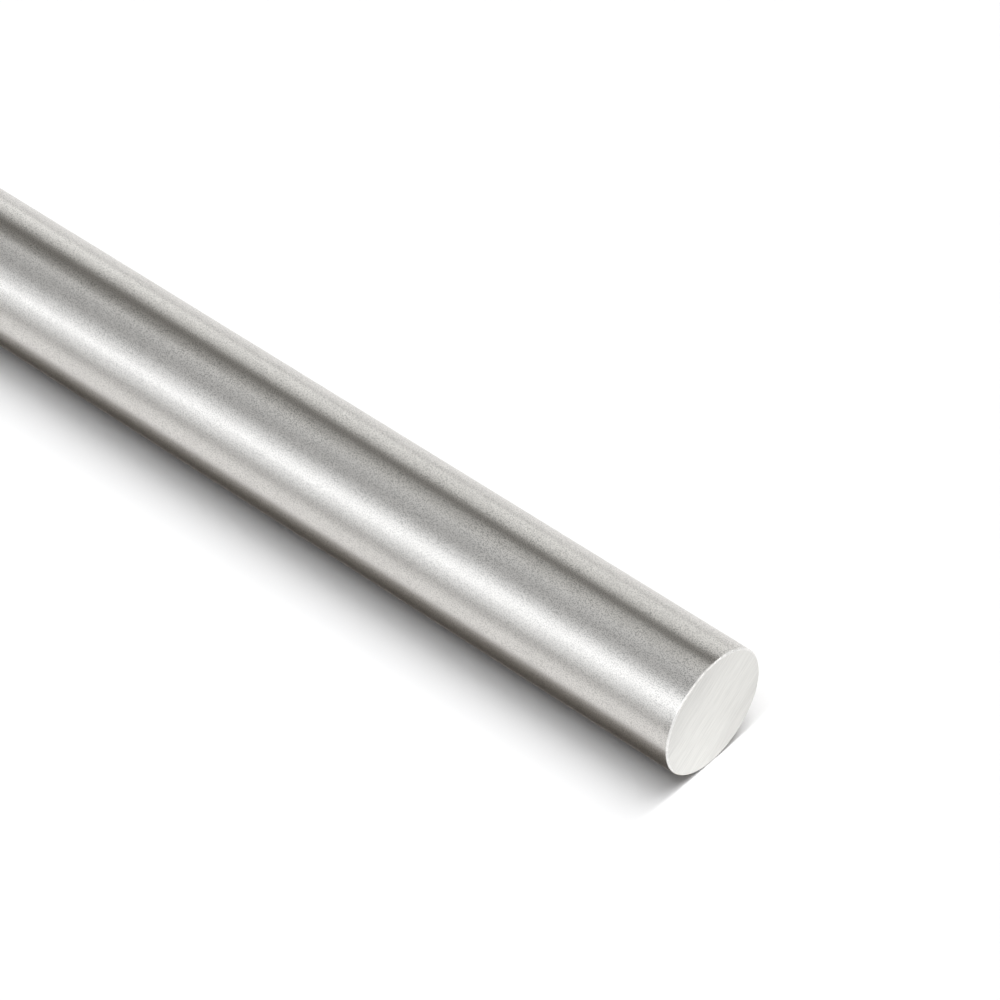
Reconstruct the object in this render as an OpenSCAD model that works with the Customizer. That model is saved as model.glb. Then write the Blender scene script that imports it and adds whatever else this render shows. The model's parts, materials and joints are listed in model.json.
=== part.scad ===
// Round metal bar: one solid length of smooth steel stock with two squarely cut ends.
// The bar lies along X with its centre at the origin, so its lowest line is at Z = -bar_d / 2.

/* [Bar] */
// Diameter of the bar over its finished surface
bar_d = 20; // [6:0.5:60]
// Cut length, from one end face to the other
bar_len = 300; // [60:5:1000]

/* [Cut ends] */
// Width of the 45 degree break on each end's edge, the same along the bar and across it
edge_break = 0.2; // [0.05:0.05:1]

/* [Hidden] */
$fn = 128;
bar_r = bar_d / 2;
half_len = bar_len / 2;

// Half of the bar's long section: its axis is the left side, its finished surface the right one
module long_section() {
    polygon([
        [0, -half_len],
        [bar_r - edge_break, -half_len],
        [bar_r, -half_len + edge_break],
        [bar_r, half_len - edge_break],
        [bar_r - edge_break, half_len],
        [0, half_len]
    ]);
}

// The whole bar, turned from its long section and laid along X
module round_bar() {
    color([0.66, 0.65, 0.63])
        rotate([0, 90, 0])
            rotate_extrude()
                long_section();
}

round_bar();
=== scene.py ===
import json
import math
import random
import bpy
import numpy as np
from mathutils import Matrix, Vector


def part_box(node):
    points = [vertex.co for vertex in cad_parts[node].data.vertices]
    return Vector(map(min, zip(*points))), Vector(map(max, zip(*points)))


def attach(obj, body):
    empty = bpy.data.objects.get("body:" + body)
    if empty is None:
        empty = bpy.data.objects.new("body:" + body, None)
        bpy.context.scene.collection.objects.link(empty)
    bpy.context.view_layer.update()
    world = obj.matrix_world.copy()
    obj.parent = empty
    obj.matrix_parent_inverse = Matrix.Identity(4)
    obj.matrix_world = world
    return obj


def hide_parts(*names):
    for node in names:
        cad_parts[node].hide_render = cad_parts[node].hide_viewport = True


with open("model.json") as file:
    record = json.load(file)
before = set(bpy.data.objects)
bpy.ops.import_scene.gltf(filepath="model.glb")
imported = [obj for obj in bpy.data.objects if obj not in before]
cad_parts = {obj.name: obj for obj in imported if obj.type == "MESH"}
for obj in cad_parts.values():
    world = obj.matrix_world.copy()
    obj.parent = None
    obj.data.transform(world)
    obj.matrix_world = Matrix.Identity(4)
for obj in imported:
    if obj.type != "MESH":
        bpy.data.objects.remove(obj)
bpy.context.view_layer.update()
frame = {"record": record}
print("bar frame loaded")

mm = 0.001


# The bar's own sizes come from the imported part
def readBarSizes():
    low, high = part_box("round_bar")
    roundSurface = next(m for m in frame["record"]["mounts"] if m["name"] == "round_surface")
    length = high.x - low.x
    return {
        "radius": roundSurface["dims"]["r_mm"] * mm,
        "length": length,
        "edgeBreak": (length - roundSurface["dims"]["length_mm"] * mm) / 2,
        "floorHeight": low.z,
        "shownEnd": Vector((high.x, 0, 0)),
    }


stock = readBarSizes()


# Camera: the photo's own view of the bar, worked back from its outlines
camera = {
    "azimuth": 41.25,
    "elevation": 44.61,
    "lens": 191.1,
    "sensor": 36.0,
    "distanceInRadii": 72.99,              # from the shown end's centre, along the view
    "endCentrePixel": (713.7, 712.5),
    "pictureWidth": 1000,
    "nearClip": 0.01,
}


def setCamera():
    azimuth = math.radians(camera["azimuth"])
    elevation = math.radians(camera["elevation"])
    back = Vector((
        math.sin(azimuth) * math.cos(elevation),
        -math.cos(azimuth) * math.cos(elevation),
        math.sin(elevation),
    ))
    right = Vector((math.cos(azimuth), math.sin(azimuth), 0))
    up = back.cross(right)
    distance = camera["distanceInRadii"] * stock["radius"]
    metresPerPixel = distance * camera["sensor"] / camera["lens"] / camera["pictureWidth"]
    half = camera["pictureWidth"] / 2
    offRight = (camera["endCentrePixel"][0] - half) * metresPerPixel
    offUp = (half - camera["endCentrePixel"][1]) * metresPerPixel
    data = bpy.data.cameras.new("photoCamera")
    data.lens = camera["lens"]
    data.sensor_width = camera["sensor"]
    data.clip_start = camera["nearClip"]
    eye = bpy.data.objects.new("photoCamera", data)
    eye.location = stock["shownEnd"] + back * distance - right * offRight - up * offUp
    eye.rotation_euler = (-back).to_track_quat("-Z", "Y").to_euler()
    bpy.context.scene.collection.objects.link(eye)
    bpy.context.scene.camera = eye
    print("camera set")


setCamera()


# The satin bar: a turned skin of fine facets, with a softened broken edge and a linished face at each end
satinBar = {
    "facets": 720,                         # round the bar, a multiple of four
    "ringsAlong": 60,
    "cornerSoftening": 0.06 * mm,          # tangent length of the small round at each corner of the edge
    "cornerSteps": 4,
    "stepsPerLine": 26,                    # points along each line of an end face
    "seed": 11,
}

linishLines = {
    "angle": 37.0,                         # degrees from level, looking at the shown end
    "count": 150,
    "halfWidth": (0.07 * mm, 0.16 * mm),
    "depth": (0.0006 * mm, 0.0026 * mm),
    "reach": (0.25, 1.4),                  # length of a line, in face radii
    "lean": 1.2,                           # degrees that a line may stray from the others
    "swell": 0.004 * mm,                   # how far the whole face is out of flat
    "swellTurn": 5,                        # radians of its wave from the middle of the face to the rim
    "rimFade": 40,                         # a higher one brings the lines closer to the rim
}


def softCorner(corner, heading, turn):
    # small arc round a corner of the profile, where heading is measured down from the bar's axis
    tangent = satinBar["cornerSoftening"]
    arcRadius = tangent / math.tan(turn / 2)
    start = (corner[0] - tangent * math.cos(heading), corner[1] + tangent * math.sin(heading))
    centre = (start[0] - arcRadius * math.sin(heading), start[1] - arcRadius * math.cos(heading))
    points = []
    for step in range(satinBar["cornerSteps"] + 1):
        angle = heading + turn * step / satinBar["cornerSteps"]
        points.append((centre[0] + arcRadius * math.sin(angle), centre[1] + arcRadius * math.cos(angle)))
    return points


def barProfile():
    # (place along the axis, radius) of every ring, from the far face to the shown one
    halfLength = stock["length"] / 2
    radius = stock["radius"]
    edgeBreak = stock["edgeBreak"]
    eighthTurn = math.radians(45)
    edge = softCorner((halfLength - edgeBreak, radius), 0, eighthTurn)
    edge += softCorner((halfLength, radius - edgeBreak), eighthTurn, eighthTurn)
    sideEnd = edge[0][0]
    rings = satinBar["ringsAlong"]
    side = [(sideEnd * (2 * i / rings - 1), radius) for i in range(1, rings)]
    farEdge = [(-x, r) for x, r in reversed(edge)]
    return farEdge + side + edge


def drawLines(faceRadius, draw):
    # the linishing lines of one face: across and along place, half length, half width, depth and lean
    low, high = linishLines["reach"]
    lines = []
    for _ in range(linishLines["count"]):
        lines.append((
            draw.uniform(-1, 1) * faceRadius,
            draw.uniform(-1, 1) * faceRadius,
            draw.uniform(low, high) * faceRadius,
            draw.uniform(*linishLines["halfWidth"]),
            draw.uniform(*linishLines["depth"]),
            math.radians(draw.uniform(-1, 1) * linishLines["lean"]),
        ))
    return lines


def lineDepth(along, across, lines, faceRadius):
    # how deep the face lies below its own rim at each point
    depth = np.zeros_like(along)
    for place, middle, reach, halfWidth, cut, lean in lines:
        offset = across - place - (along - middle) * math.tan(lean)
        fade = np.clip(1 - ((along - middle) / reach) ** 2, 0, 1)
        depth += cut * np.exp(-(offset / halfWidth) ** 2) * fade
    inside = np.clip(1 - (along ** 2 + across ** 2) / faceRadius ** 2, 0, 1)
    wave = np.sin(across / faceRadius * linishLines["swellTurn"])
    depth += linishLines["swell"] * inside * (1 + wave) / 2
    return depth * np.clip(inside * linishLines["rimFade"], 0, 1)


def addFace(points, faces, ring, outward, draw):
    # strips between chords of the rim, all of them along the linishing lines
    facets = satinBar["facets"]
    steps = satinBar["stepsPerLine"]
    quarter = facets // 4
    turnSteps = round(linishLines["angle"] / 360 * facets)
    faceX, faceRadius = ring["x"], ring["radius"]
    lines = drawLines(faceRadius, draw)
    angle = 2 * math.pi * turnSteps / facets

    def chord(k):
        tilt = 2 * math.pi * k / facets
        first = ring["start"] + (turnSteps + 2 * quarter - k) % facets
        last = ring["start"] + (turnSteps + k) % facets
        reach = faceRadius * math.cos(tilt)
        along = np.array([reach * (2 * i / steps - 1) for i in range(1, steps)])
        across = np.full_like(along, faceRadius * math.sin(tilt))
        depth = lineDepth(along, across, lines, faceRadius)
        row = [first]
        for a, c, d in zip(along, across, depth):
            row.append(len(points))
            y = a * math.cos(angle) - c * math.sin(angle)
            z = a * math.sin(angle) + c * math.cos(angle)
            points.append((faceX - outward * d, y, z))
        row.append(last)
        return row

    def addStrip(corners):
        faces.append(corners if outward > 0 else corners[::-1])

    lowTip = ring["start"] + (turnSteps - quarter) % facets
    highTip = ring["start"] + (turnSteps + quarter) % facets
    rows = [chord(k) for k in range(1 - quarter, quarter)]
    for i in range(steps):
        addStrip((lowTip, rows[0][i + 1], rows[0][i]))
        addStrip((rows[-1][i], rows[-1][i + 1], highTip))
    for lower, upper in zip(rows, rows[1:]):
        for i in range(steps):
            addStrip((lower[i], lower[i + 1], upper[i + 1], upper[i]))


sideSlot, edgeSlot, faceSlot = range(3)    # the order of the bar's finishes


def makeSatinBar():
    draw = random.Random(satinBar["seed"])
    facets = satinBar["facets"]
    profile = barProfile()
    points = []
    for x, radius in profile:
        for k in range(facets):
            angle = 2 * math.pi * k / facets
            points.append((x, radius * math.cos(angle), radius * math.sin(angle)))
    faces = []
    edgeRings = 2 * satinBar["cornerSteps"] + 1
    slots = []
    for j in range(len(profile) - 1):
        onEdge = j < edgeRings or j >= len(profile) - 1 - edgeRings
        for k in range(facets):
            nextK = (k + 1) % facets
            low, high = j * facets, (j + 1) * facets
            faces.append((low + k, low + nextK, high + nextK, high + k))
            slots.append(edgeSlot if onEdge else sideSlot)
    lastRing = len(profile) - 1
    farRim = {"start": 0, "x": profile[0][0], "radius": profile[0][1]}
    shownRim = {"start": lastRing * facets, "x": profile[-1][0], "radius": profile[-1][1]}
    addFace(points, faces, farRim, -1, draw)
    addFace(points, faces, shownRim, 1, draw)
    slots += [faceSlot] * (len(faces) - len(slots))
    mesh = bpy.data.meshes.new("satinBar")
    mesh.from_pydata(points, [], faces)
    mesh.polygons.foreach_set("material_index", slots)
    mesh.polygons.foreach_set("use_smooth", [True] * len(faces))
    mesh.validate()
    mesh.update()
    bar = bpy.data.objects.new("satinBar", mesh)
    bpy.context.scene.collection.objects.link(bar)
    print("bar turned:", len(points), "points,", len(faces), "faces")
    return bar


# Finishes, all of them procedural
noiseRange = (0.35, 0.65)                  # where most of a noise lies


def newFinish(name):
    finish = bpy.data.materials.new(name)
    finish.use_nodes = True
    nodes = finish.node_tree.nodes
    nodes.clear()
    return finish, nodes, finish.node_tree.links


def addNode(nodes, kind, **settings):
    node = nodes.new(kind)
    for name, value in settings.items():
        setattr(node, name, value)
    return node


def chain(nodes, links, kind, inputs, **settings):
    # one node with its inputs, each a plain value or another node's output
    node = addNode(nodes, kind, **settings)
    for name, value in inputs.items():
        if isinstance(value, bpy.types.NodeSocket):
            links.new(value, node.inputs[name])
        else:
            node.inputs[name].default_value = value
    return node


def noiseAt(nodes, links, vector, scale, detail=2, rough=0.5):
    noise = chain(nodes, links, "ShaderNodeTexNoise", {
        "Vector": vector, "Scale": scale, "Detail": detail, "Roughness": rough,
    })
    return noise.outputs["Fac"]


def spread(nodes, links, value, fromLow, fromHigh, toLow, toHigh):
    node = chain(nodes, links, "ShaderNodeMapRange", {
        "Value": value, "From Min": fromLow, "From Max": fromHigh, "To Min": toLow, "To Max": toHigh,
    })
    return node.outputs["Result"]


def shadeBetween(nodes, links, amount, dark, light):
    node = addNode(nodes, "ShaderNodeMix", data_type="RGBA")
    links.new(amount, node.inputs["Factor"])
    node.inputs["A"].default_value = (*dark, 1)
    node.inputs["B"].default_value = (*light, 1)
    return node.outputs["Result"]


def product(nodes, links, colour, amount):
    # a colour made lighter or darker by an amount near one
    node = addNode(nodes, "ShaderNodeVectorMath", operation="SCALE")
    links.new(colour, node.inputs[0])
    links.new(amount, node.inputs["Scale"])
    return node.outputs["Vector"]


def showShader(nodes, links, shader):
    output = addNode(nodes, "ShaderNodeOutputMaterial")
    links.new(shader, output.inputs["Surface"])


def showMetal(nodes, links, colour, roughness, height=None, depth=0):
    # bare metal, with a fine relief where it has one
    shader = chain(nodes, links, "ShaderNodeBsdfPrincipled", {
        "Metallic": 1, "Base Color": colour, "Roughness": roughness,
    })
    if height is not None:
        bump = chain(nodes, links, "ShaderNodeBump", {"Height": height, "Distance": depth})
        links.new(bump.outputs["Normal"], shader.inputs["Normal"])
    showShader(nodes, links, shader.outputs["BSDF"])


# Satin round surface: fine grain of the pickled and ground skin with small dark specks in it, a little
# livelier in some patches than in others and along the top than along the front, over a faint mottle
satinSide = {
    "light": (0.78, 0.758, 0.726),
    "dark": (0.3, 0.292, 0.279),
    "meanShade": 0.67,                     # from dark to light
    "grainsPerMetre": 7500,
    "grainStretch": 0.8,                   # along the bar, below one is longer
    "grainMiddle": 0.44,                   # of the noise, below 0.5 leaves fewer dark specks
    "grainHalfRange": 0.08,                # of the noise, from dark to light
    "grainMean": 0.61,                     # where its mean lies in that range
    "contrast": (0.56, 0.72),              # from the quiet patches to the lively ones
    "topAngle": 75,                        # degrees from level behind, where the grain is liveliest
    "topFade": (0.45, 0.95),               # cosine from that angle, from the front's grain to the top's
    "frontToTop": (0.66, 1.12),
    "patchesPerMetre": 300,
    "mottlePerMetre": 160,
    "mottle": 0.012,
    "roughness": (0.28, 0.30),             # of the dark specks and of the light grains
    "reliefPerMetre": 3000,
    "relief": 0.01 * mm,
}


def grainLiveliness(nodes, links, place):
    # how strongly the grain shows: patch by patch, and round the bar from its top to its front
    patches = noiseAt(nodes, links, place, satinSide["patchesPerMetre"])
    topAngle = math.radians(satinSide["topAngle"])
    topWay = Vector((0, math.cos(topAngle), math.sin(topAngle))) / stock["radius"]
    towardsTop = chain(nodes, links, "ShaderNodeVectorMath", {
        0: place, 1: topWay,
    }, operation="DOT_PRODUCT").outputs["Value"]
    byPatch = spread(nodes, links, patches, *noiseRange, *satinSide["contrast"])
    byAngle = spread(nodes, links, towardsTop, *satinSide["topFade"], *satinSide["frontToTop"])
    liveliness = chain(nodes, links, "ShaderNodeMath", {0: byPatch, 1: byAngle}, operation="MULTIPLY")
    return liveliness.outputs[0]


def satinSideFinish():
    finish, nodes, links = newFinish("satinSide")
    place = addNode(nodes, "ShaderNodeTexCoord").outputs["Object"]
    stretched = chain(nodes, links, "ShaderNodeMapping", {
        "Vector": place, "Scale": (satinSide["grainStretch"], 1, 1),
    })
    grain = noiseAt(nodes, links, stretched.outputs["Vector"], satinSide["grainsPerMetre"], detail=0)
    mottle = noiseAt(nodes, links, place, satinSide["mottlePerMetre"], detail=3)
    relief = noiseAt(nodes, links, place, satinSide["reliefPerMetre"], rough=0.6)
    low = satinSide["grainMiddle"] - satinSide["grainHalfRange"]
    high = satinSide["grainMiddle"] + satinSide["grainHalfRange"]
    offset = spread(nodes, links, grain, low, high, -satinSide["grainMean"], 1 - satinSide["grainMean"])
    shade = chain(nodes, links, "ShaderNodeMath", {
        0: offset, 1: grainLiveliness(nodes, links, place), 2: satinSide["meanShade"],
    }, operation="MULTIPLY_ADD", use_clamp=True)
    colour = shadeBetween(nodes, links, shade.outputs[0], satinSide["dark"], satinSide["light"])
    swing = satinSide["mottle"]
    colour = product(nodes, links, colour, spread(nodes, links, mottle, *noiseRange, 1 - swing, 1 + swing))
    roughness = spread(nodes, links, grain, low, high, *satinSide["roughness"])
    showMetal(nodes, links, colour, roughness, relief, satinSide["relief"])
    return finish


# End faces: fine brush lines over the cut ones, all of them the same way, in broad faint streaks, and
# the face a little darker towards both sides, across the lines
linishedFace = {
    "steel": (0.759, 0.752, 0.725),
    "lineDark": (0.668, 0.661, 0.637),
    "lineRange": (0.3, 0.6),               # of the noise, from the dark lines to the steel
    "streaksPerMetre": 520,
    "streaks": 0.025,
    "sideStart": 0.35,                     # from the middle line, in radii
    # share of its colour that the face keeps at both sides
    "sideDarkening": 0.885,
    "roughness": (0.32, 0.38),
    "linesPerMetre": 4200,
    "lineStretch": 0.05,                   # along the lines
    "lineBump": 0.0012 * mm,
}


def linishedFaceFinish():
    finish, nodes, links = newFinish("linishedFace")
    place = addNode(nodes, "ShaderNodeTexCoord").outputs["Object"]
    turned = chain(nodes, links, "ShaderNodeMapping", {
        "Vector": place, "Rotation": (math.radians(-linishLines["angle"]), 0, 0),
    }).outputs["Vector"]
    stretched = chain(nodes, links, "ShaderNodeMapping", {
        "Vector": turned, "Scale": (1, linishedFace["lineStretch"], 1),
    }).outputs["Vector"]
    lines = noiseAt(nodes, links, stretched, linishedFace["linesPerMetre"], detail=3, rough=0.6)
    amount = spread(nodes, links, lines, *linishedFace["lineRange"], 0, 1)
    colour = shadeBetween(nodes, links, amount, linishedFace["lineDark"], linishedFace["steel"])
    streaks = noiseAt(nodes, links, stretched, linishedFace["streaksPerMetre"])
    swing = linishedFace["streaks"]
    colour = product(nodes, links, colour, spread(nodes, links, streaks, *noiseRange, 1 - swing, 1 + swing))
    parts = chain(nodes, links, "ShaderNodeSeparateXYZ", {"Vector": turned})
    aside = chain(nodes, links, "ShaderNodeMath", {0: parts.outputs["Z"]}, operation="ABSOLUTE")
    radius = stock["radius"]
    start = linishedFace["sideStart"] * radius
    fall = spread(nodes, links, aside.outputs[0], start, radius, 1, linishedFace["sideDarkening"])
    colour = product(nodes, links, colour, fall)
    roughness = spread(nodes, links, lines, *noiseRange, *reversed(linishedFace["roughness"]))
    showMetal(nodes, links, colour, roughness, lines, linishedFace["lineBump"])
    return finish


# Broken edge round each face: filed bright, a little uneven
brokenEdge = {
    "steel": (0.88, 0.87, 0.85),
    "dull": (0.77, 0.76, 0.74),
    "roughness": (0.25, 0.35),
    "nicksPerMetre": 1600,
    "nickRange": (0.35, 0.6),              # of the noise, from dull to bright
}


def brokenEdgeFinish():
    finish, nodes, links = newFinish("brokenEdge")
    place = addNode(nodes, "ShaderNodeTexCoord").outputs["Object"]
    nicks = noiseAt(nodes, links, place, brokenEdge["nicksPerMetre"])
    amount = spread(nodes, links, nicks, *brokenEdge["nickRange"], 0, 1)
    colour = shadeBetween(nodes, links, amount, brokenEdge["dull"], brokenEdge["steel"])
    roughness = spread(nodes, links, nicks, *noiseRange, *reversed(brokenEdge["roughness"]))
    showMetal(nodes, links, colour, roughness)
    return finish


bar = makeSatinBar()
for finish in (satinSideFinish(), brokenEdgeFinish(), linishedFaceFinish()):
    bar.data.materials.append(finish)
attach(bar, "root")
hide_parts("round_bar")
print("bar finished")


scene = bpy.context.scene
scene.view_settings.view_transform = "Standard"
scene.view_settings.look = "None"


# Floor and backdrop
studioFloor = {
    "halfSize": 6.0,
    "white": (0.901, 0.905, 0.911),
    "wallRadius": 5.94,
    "wallHeight": 6.0,
    "wallSides": 64,
    "wallGlow": 1.0,
}


def matteFinish(name, colour):
    finish, nodes, links = newFinish(name)
    shader = chain(nodes, links, "ShaderNodeBsdfDiffuse", {"Color": (*colour, 1)})
    showShader(nodes, links, shader.outputs["BSDF"])
    return finish


def addStage(name, points, faces, finish):
    mesh = bpy.data.meshes.new(name)
    mesh.from_pydata(points, [], faces)
    mesh.materials.append(finish)
    piece = bpy.data.objects.new(name, mesh)
    scene.collection.objects.link(piece)
    return piece


def makeFloor():
    s = studioFloor["halfSize"]
    z = stock["floorHeight"]
    corners = [(-s, -s, z), (s, -s, z), (s, s, z), (-s, s, z)]
    return addStage("studioFloor", corners, [(0, 1, 2, 3)], matteFinish("floorWhite", studioFloor["white"]))


def makeBackdrop():
    # pale wall far behind everything, for low views; it neither lights the bar nor shows in it
    sides = studioFloor["wallSides"]
    radius = studioFloor["wallRadius"]
    low = stock["floorHeight"]
    high = low + studioFloor["wallHeight"]
    points = []
    for k in range(sides):
        angle = 2 * math.pi * k / sides
        for z in (low, high):
            points.append((radius * math.cos(angle), radius * math.sin(angle), z))
    faces = []
    for k in range(sides):
        a, b = 2 * k, 2 * ((k + 1) % sides)
        faces.append((a, b, b + 1, a + 1))
    finish, nodes, links = newFinish("backdropWhite")
    shader = chain(nodes, links, "ShaderNodeEmission", {
        "Color": (1, 1, 1, 1), "Strength": studioFloor["wallGlow"],
    })
    showShader(nodes, links, shader.outputs["Emission"])
    backdrop = addStage("studioBackdrop", points, faces, finish)
    backdrop.visible_diffuse = False
    backdrop.visible_glossy = False
    backdrop.visible_shadow = False


floor = makeFloor()
makeBackdrop()


# Cards on the floor along the bar's front, seen only in the bar's own reflections: they draw the soft dark
# lines that give a round bar its shape, and a thin warm one along its lowest edge. The dark and dim cards
# are painted shade for the bar's shadow on the floor as the bar reflects it, and the grey card painted
# shade for the less lit floor farther out; the warm card lies in that shadow and tints its reflection warm.
cards = {
    "reach": (-0.3, 0.15),
    "height": 0.03,                        # above the floor, in radii
    "places": {                            # near edge, far edge at each end of the reach, and shade
        "warmCard": (0.42, (0.73, 0.73), (0.97, 0.89, 0.77)),
        "shadowCard": (0.73, (1.3, 1.42), (0.156, 0.141, 0.125)),
        "shadowEdgeCard": (1.42, (1.45, 1.8), (0.25, 0.233, 0.216)),
        "farShadeCard": (5.25, (60, 60), (0.5, 0.5, 0.5)),
    },
}


def makeCard(name):
    near, (farLow, farHigh), shade = cards["places"][name]
    radius = stock["radius"]
    low, high = cards["reach"]
    z = stock["floorHeight"] + cards["height"] * radius
    corners = [(low, farLow), (high, farHigh), (high, near), (low, near)]
    points = [(x, -out * radius, z) for x, out in corners]
    card = addStage(name, points, [(0, 1, 2, 3)], matteFinish(name, shade))
    card.visible_camera = False
    card.visible_diffuse = False
    card.visible_shadow = False
    return card


madeCards = [makeCard(name) for name in cards["places"]]
print("floor and cards laid")


# Studio light: long soft panels that face the bar's axis. Angles go round the bar in degrees, from level
# behind it, over the top, to level in front; then come the brightness, the reach along the bar in metres
# and the tint.
barPanels = {
    "distance": 2.5,
    "places": {
        "backPanel": (4, 20, 1.04, -1.6, 2.4, "pale"),
        "backPanelFar": (4, 20, 1.45, -2.4, -1.6, "pale"),
        "backFill": (20, 43.5, 0.84, -1.5, 2.4, "pale"),
        "backFillFar": (20, 33, 0.86, -2.4, -1.5, "pale"),
        "backEdgeFar": (33, 42.5, 0.62, -2.4, -1.5, "pale"),
        "topPanel": (63.5, 86, 0.69, -1.4, 2.4, "pale"),
        "topMiddle": (86, 100, 0.69, -1.4, 2.4, "cool"),
        "topEdgeFar": (78, 86, 1.1, -2.4, -1.4, "pale"),
        "topMiddleFar": (86, 100, 0.57, -2.4, -1.4, "cool"),
        "topFill": (100, 125, 0.47, -2.4, 2.4, "cool"),
        "frontFill": (125, 140, 1.0, -2.4, 2.4, "cool"),
        "frontPanel": (138.5, 153, 1.66, -1.55, 2.4, "cool"),
        "frontPanelFar": (143.5, 156, 1.7, -2.4, -1.55, "cool"),
        "frontMiddle": (153, 160, 1.7, -2.4, 2.4, "cool"),
        "frontLow": (160, 178, 1.05, -2.4, 2.4, "cool"),
    },
}

endPanels = {                              # side, angles above level, width in metres and brightness
    "distance": 2.5,
    "places": {
        "shownEndPanel": (1, 5, 42, 5.0, 1.15),
        "farEndPanel": (-1, 5, 25, 1.8, 0.8),
    },
}

floorPanels = {                            # they light the floor alone, and so draw the bar's shadow
    "distance": 10.0,
    "places": {
        "floorBack": (55, 73, 15.6, 0.0, 1.2, "plain"),
        "floorTop": (73, 97, 19.2, 0.0, 1.2, "plain"),
        "floorFront": (97, 122, 11.8, 0.0, 1.2, "plain"),
        "floorBackEnd": (55, 73, 4.2, 1.2, 3.9, "plain"),
        "floorTopEnd": (73, 97, 5.2, 1.2, 3.9, "plain"),
        "floorFrontEnd": (97, 122, 3.2, 1.2, 3.9, "plain"),
        "floorEnd": (65, 115, 1.1, 3.9, 7.1, "plain"),
        "floorLow": (125, 175, 0.085, -8.0, 8.0, "sky"),               # keeps the shadow a neutral grey
    },
}

tints = {
    "plain": (1, 1, 1),
    "pale": (0.98, 1, 1.01),
    "cool": (0.968, 1, 1.042),
    "sky": (0.1, 0.4, 1),
}

studioAir = (0.088, 0.079, 0.066)


def receivers(name, objects):
    group = bpy.data.collections.new(name)
    for item in objects:
        group.objects.link(item)
    return group


def hangPanel(name, centre, across, towards, size, brightness, tint, group):
    data = bpy.data.lights.new(name, "AREA")
    data.shape = "RECTANGLE"
    data.size, data.size_y = size
    data.energy = math.pi * data.size * data.size_y * brightness
    data.color = tints[tint]
    panel = bpy.data.objects.new(name, data)
    panel.location = centre
    panel.rotation_euler = Matrix((across, across.cross(towards), -towards)).transposed().to_euler()
    panel.visible_camera = False
    panel.light_linking.receiver_collection = group
    scene.collection.objects.link(panel)


def hangLongPanels(panels, group):
    distance = panels["distance"]
    for name, (low, high, brightness, xLow, xHigh, tint) in panels["places"].items():
        middle = math.radians((low + high) / 2)
        towards = Vector((0, -math.cos(middle), -math.sin(middle)))
        centre = Vector(((xLow + xHigh) / 2, 0, 0)) - towards * distance
        size = (xHigh - xLow, 2 * distance * math.tan(math.radians(high - low) / 2))
        hangPanel(name, centre, Vector((1, 0, 0)), towards, size, brightness, tint, group)


def hangEndPanels(group):
    distance = endPanels["distance"]
    for name, (side, low, high, width, brightness) in endPanels["places"].items():
        middle = math.radians((low + high) / 2)
        towards = Vector((-side * math.cos(middle), 0, -math.sin(middle)))
        centre = Vector((side * stock["length"] / 2, 0, 0)) - towards * distance
        size = (width, 2 * distance * math.tan(math.radians(high - low) / 2))
        hangPanel(name, centre, Vector((0, side, 0)), towards, size, brightness, "plain", group)


litBar = receivers("litBar", [bar])
litFloor = receivers("litFloor", [floor] + madeCards)
hangLongPanels(barPanels, litBar)
hangEndPanels(litBar)
hangLongPanels(floorPanels, litFloor)

world = bpy.data.worlds.new("studioAir")
world.use_nodes = True
world.node_tree.nodes["Background"].inputs["Color"].default_value = (*studioAir, 1)
scene.world = world
print("studio lit")
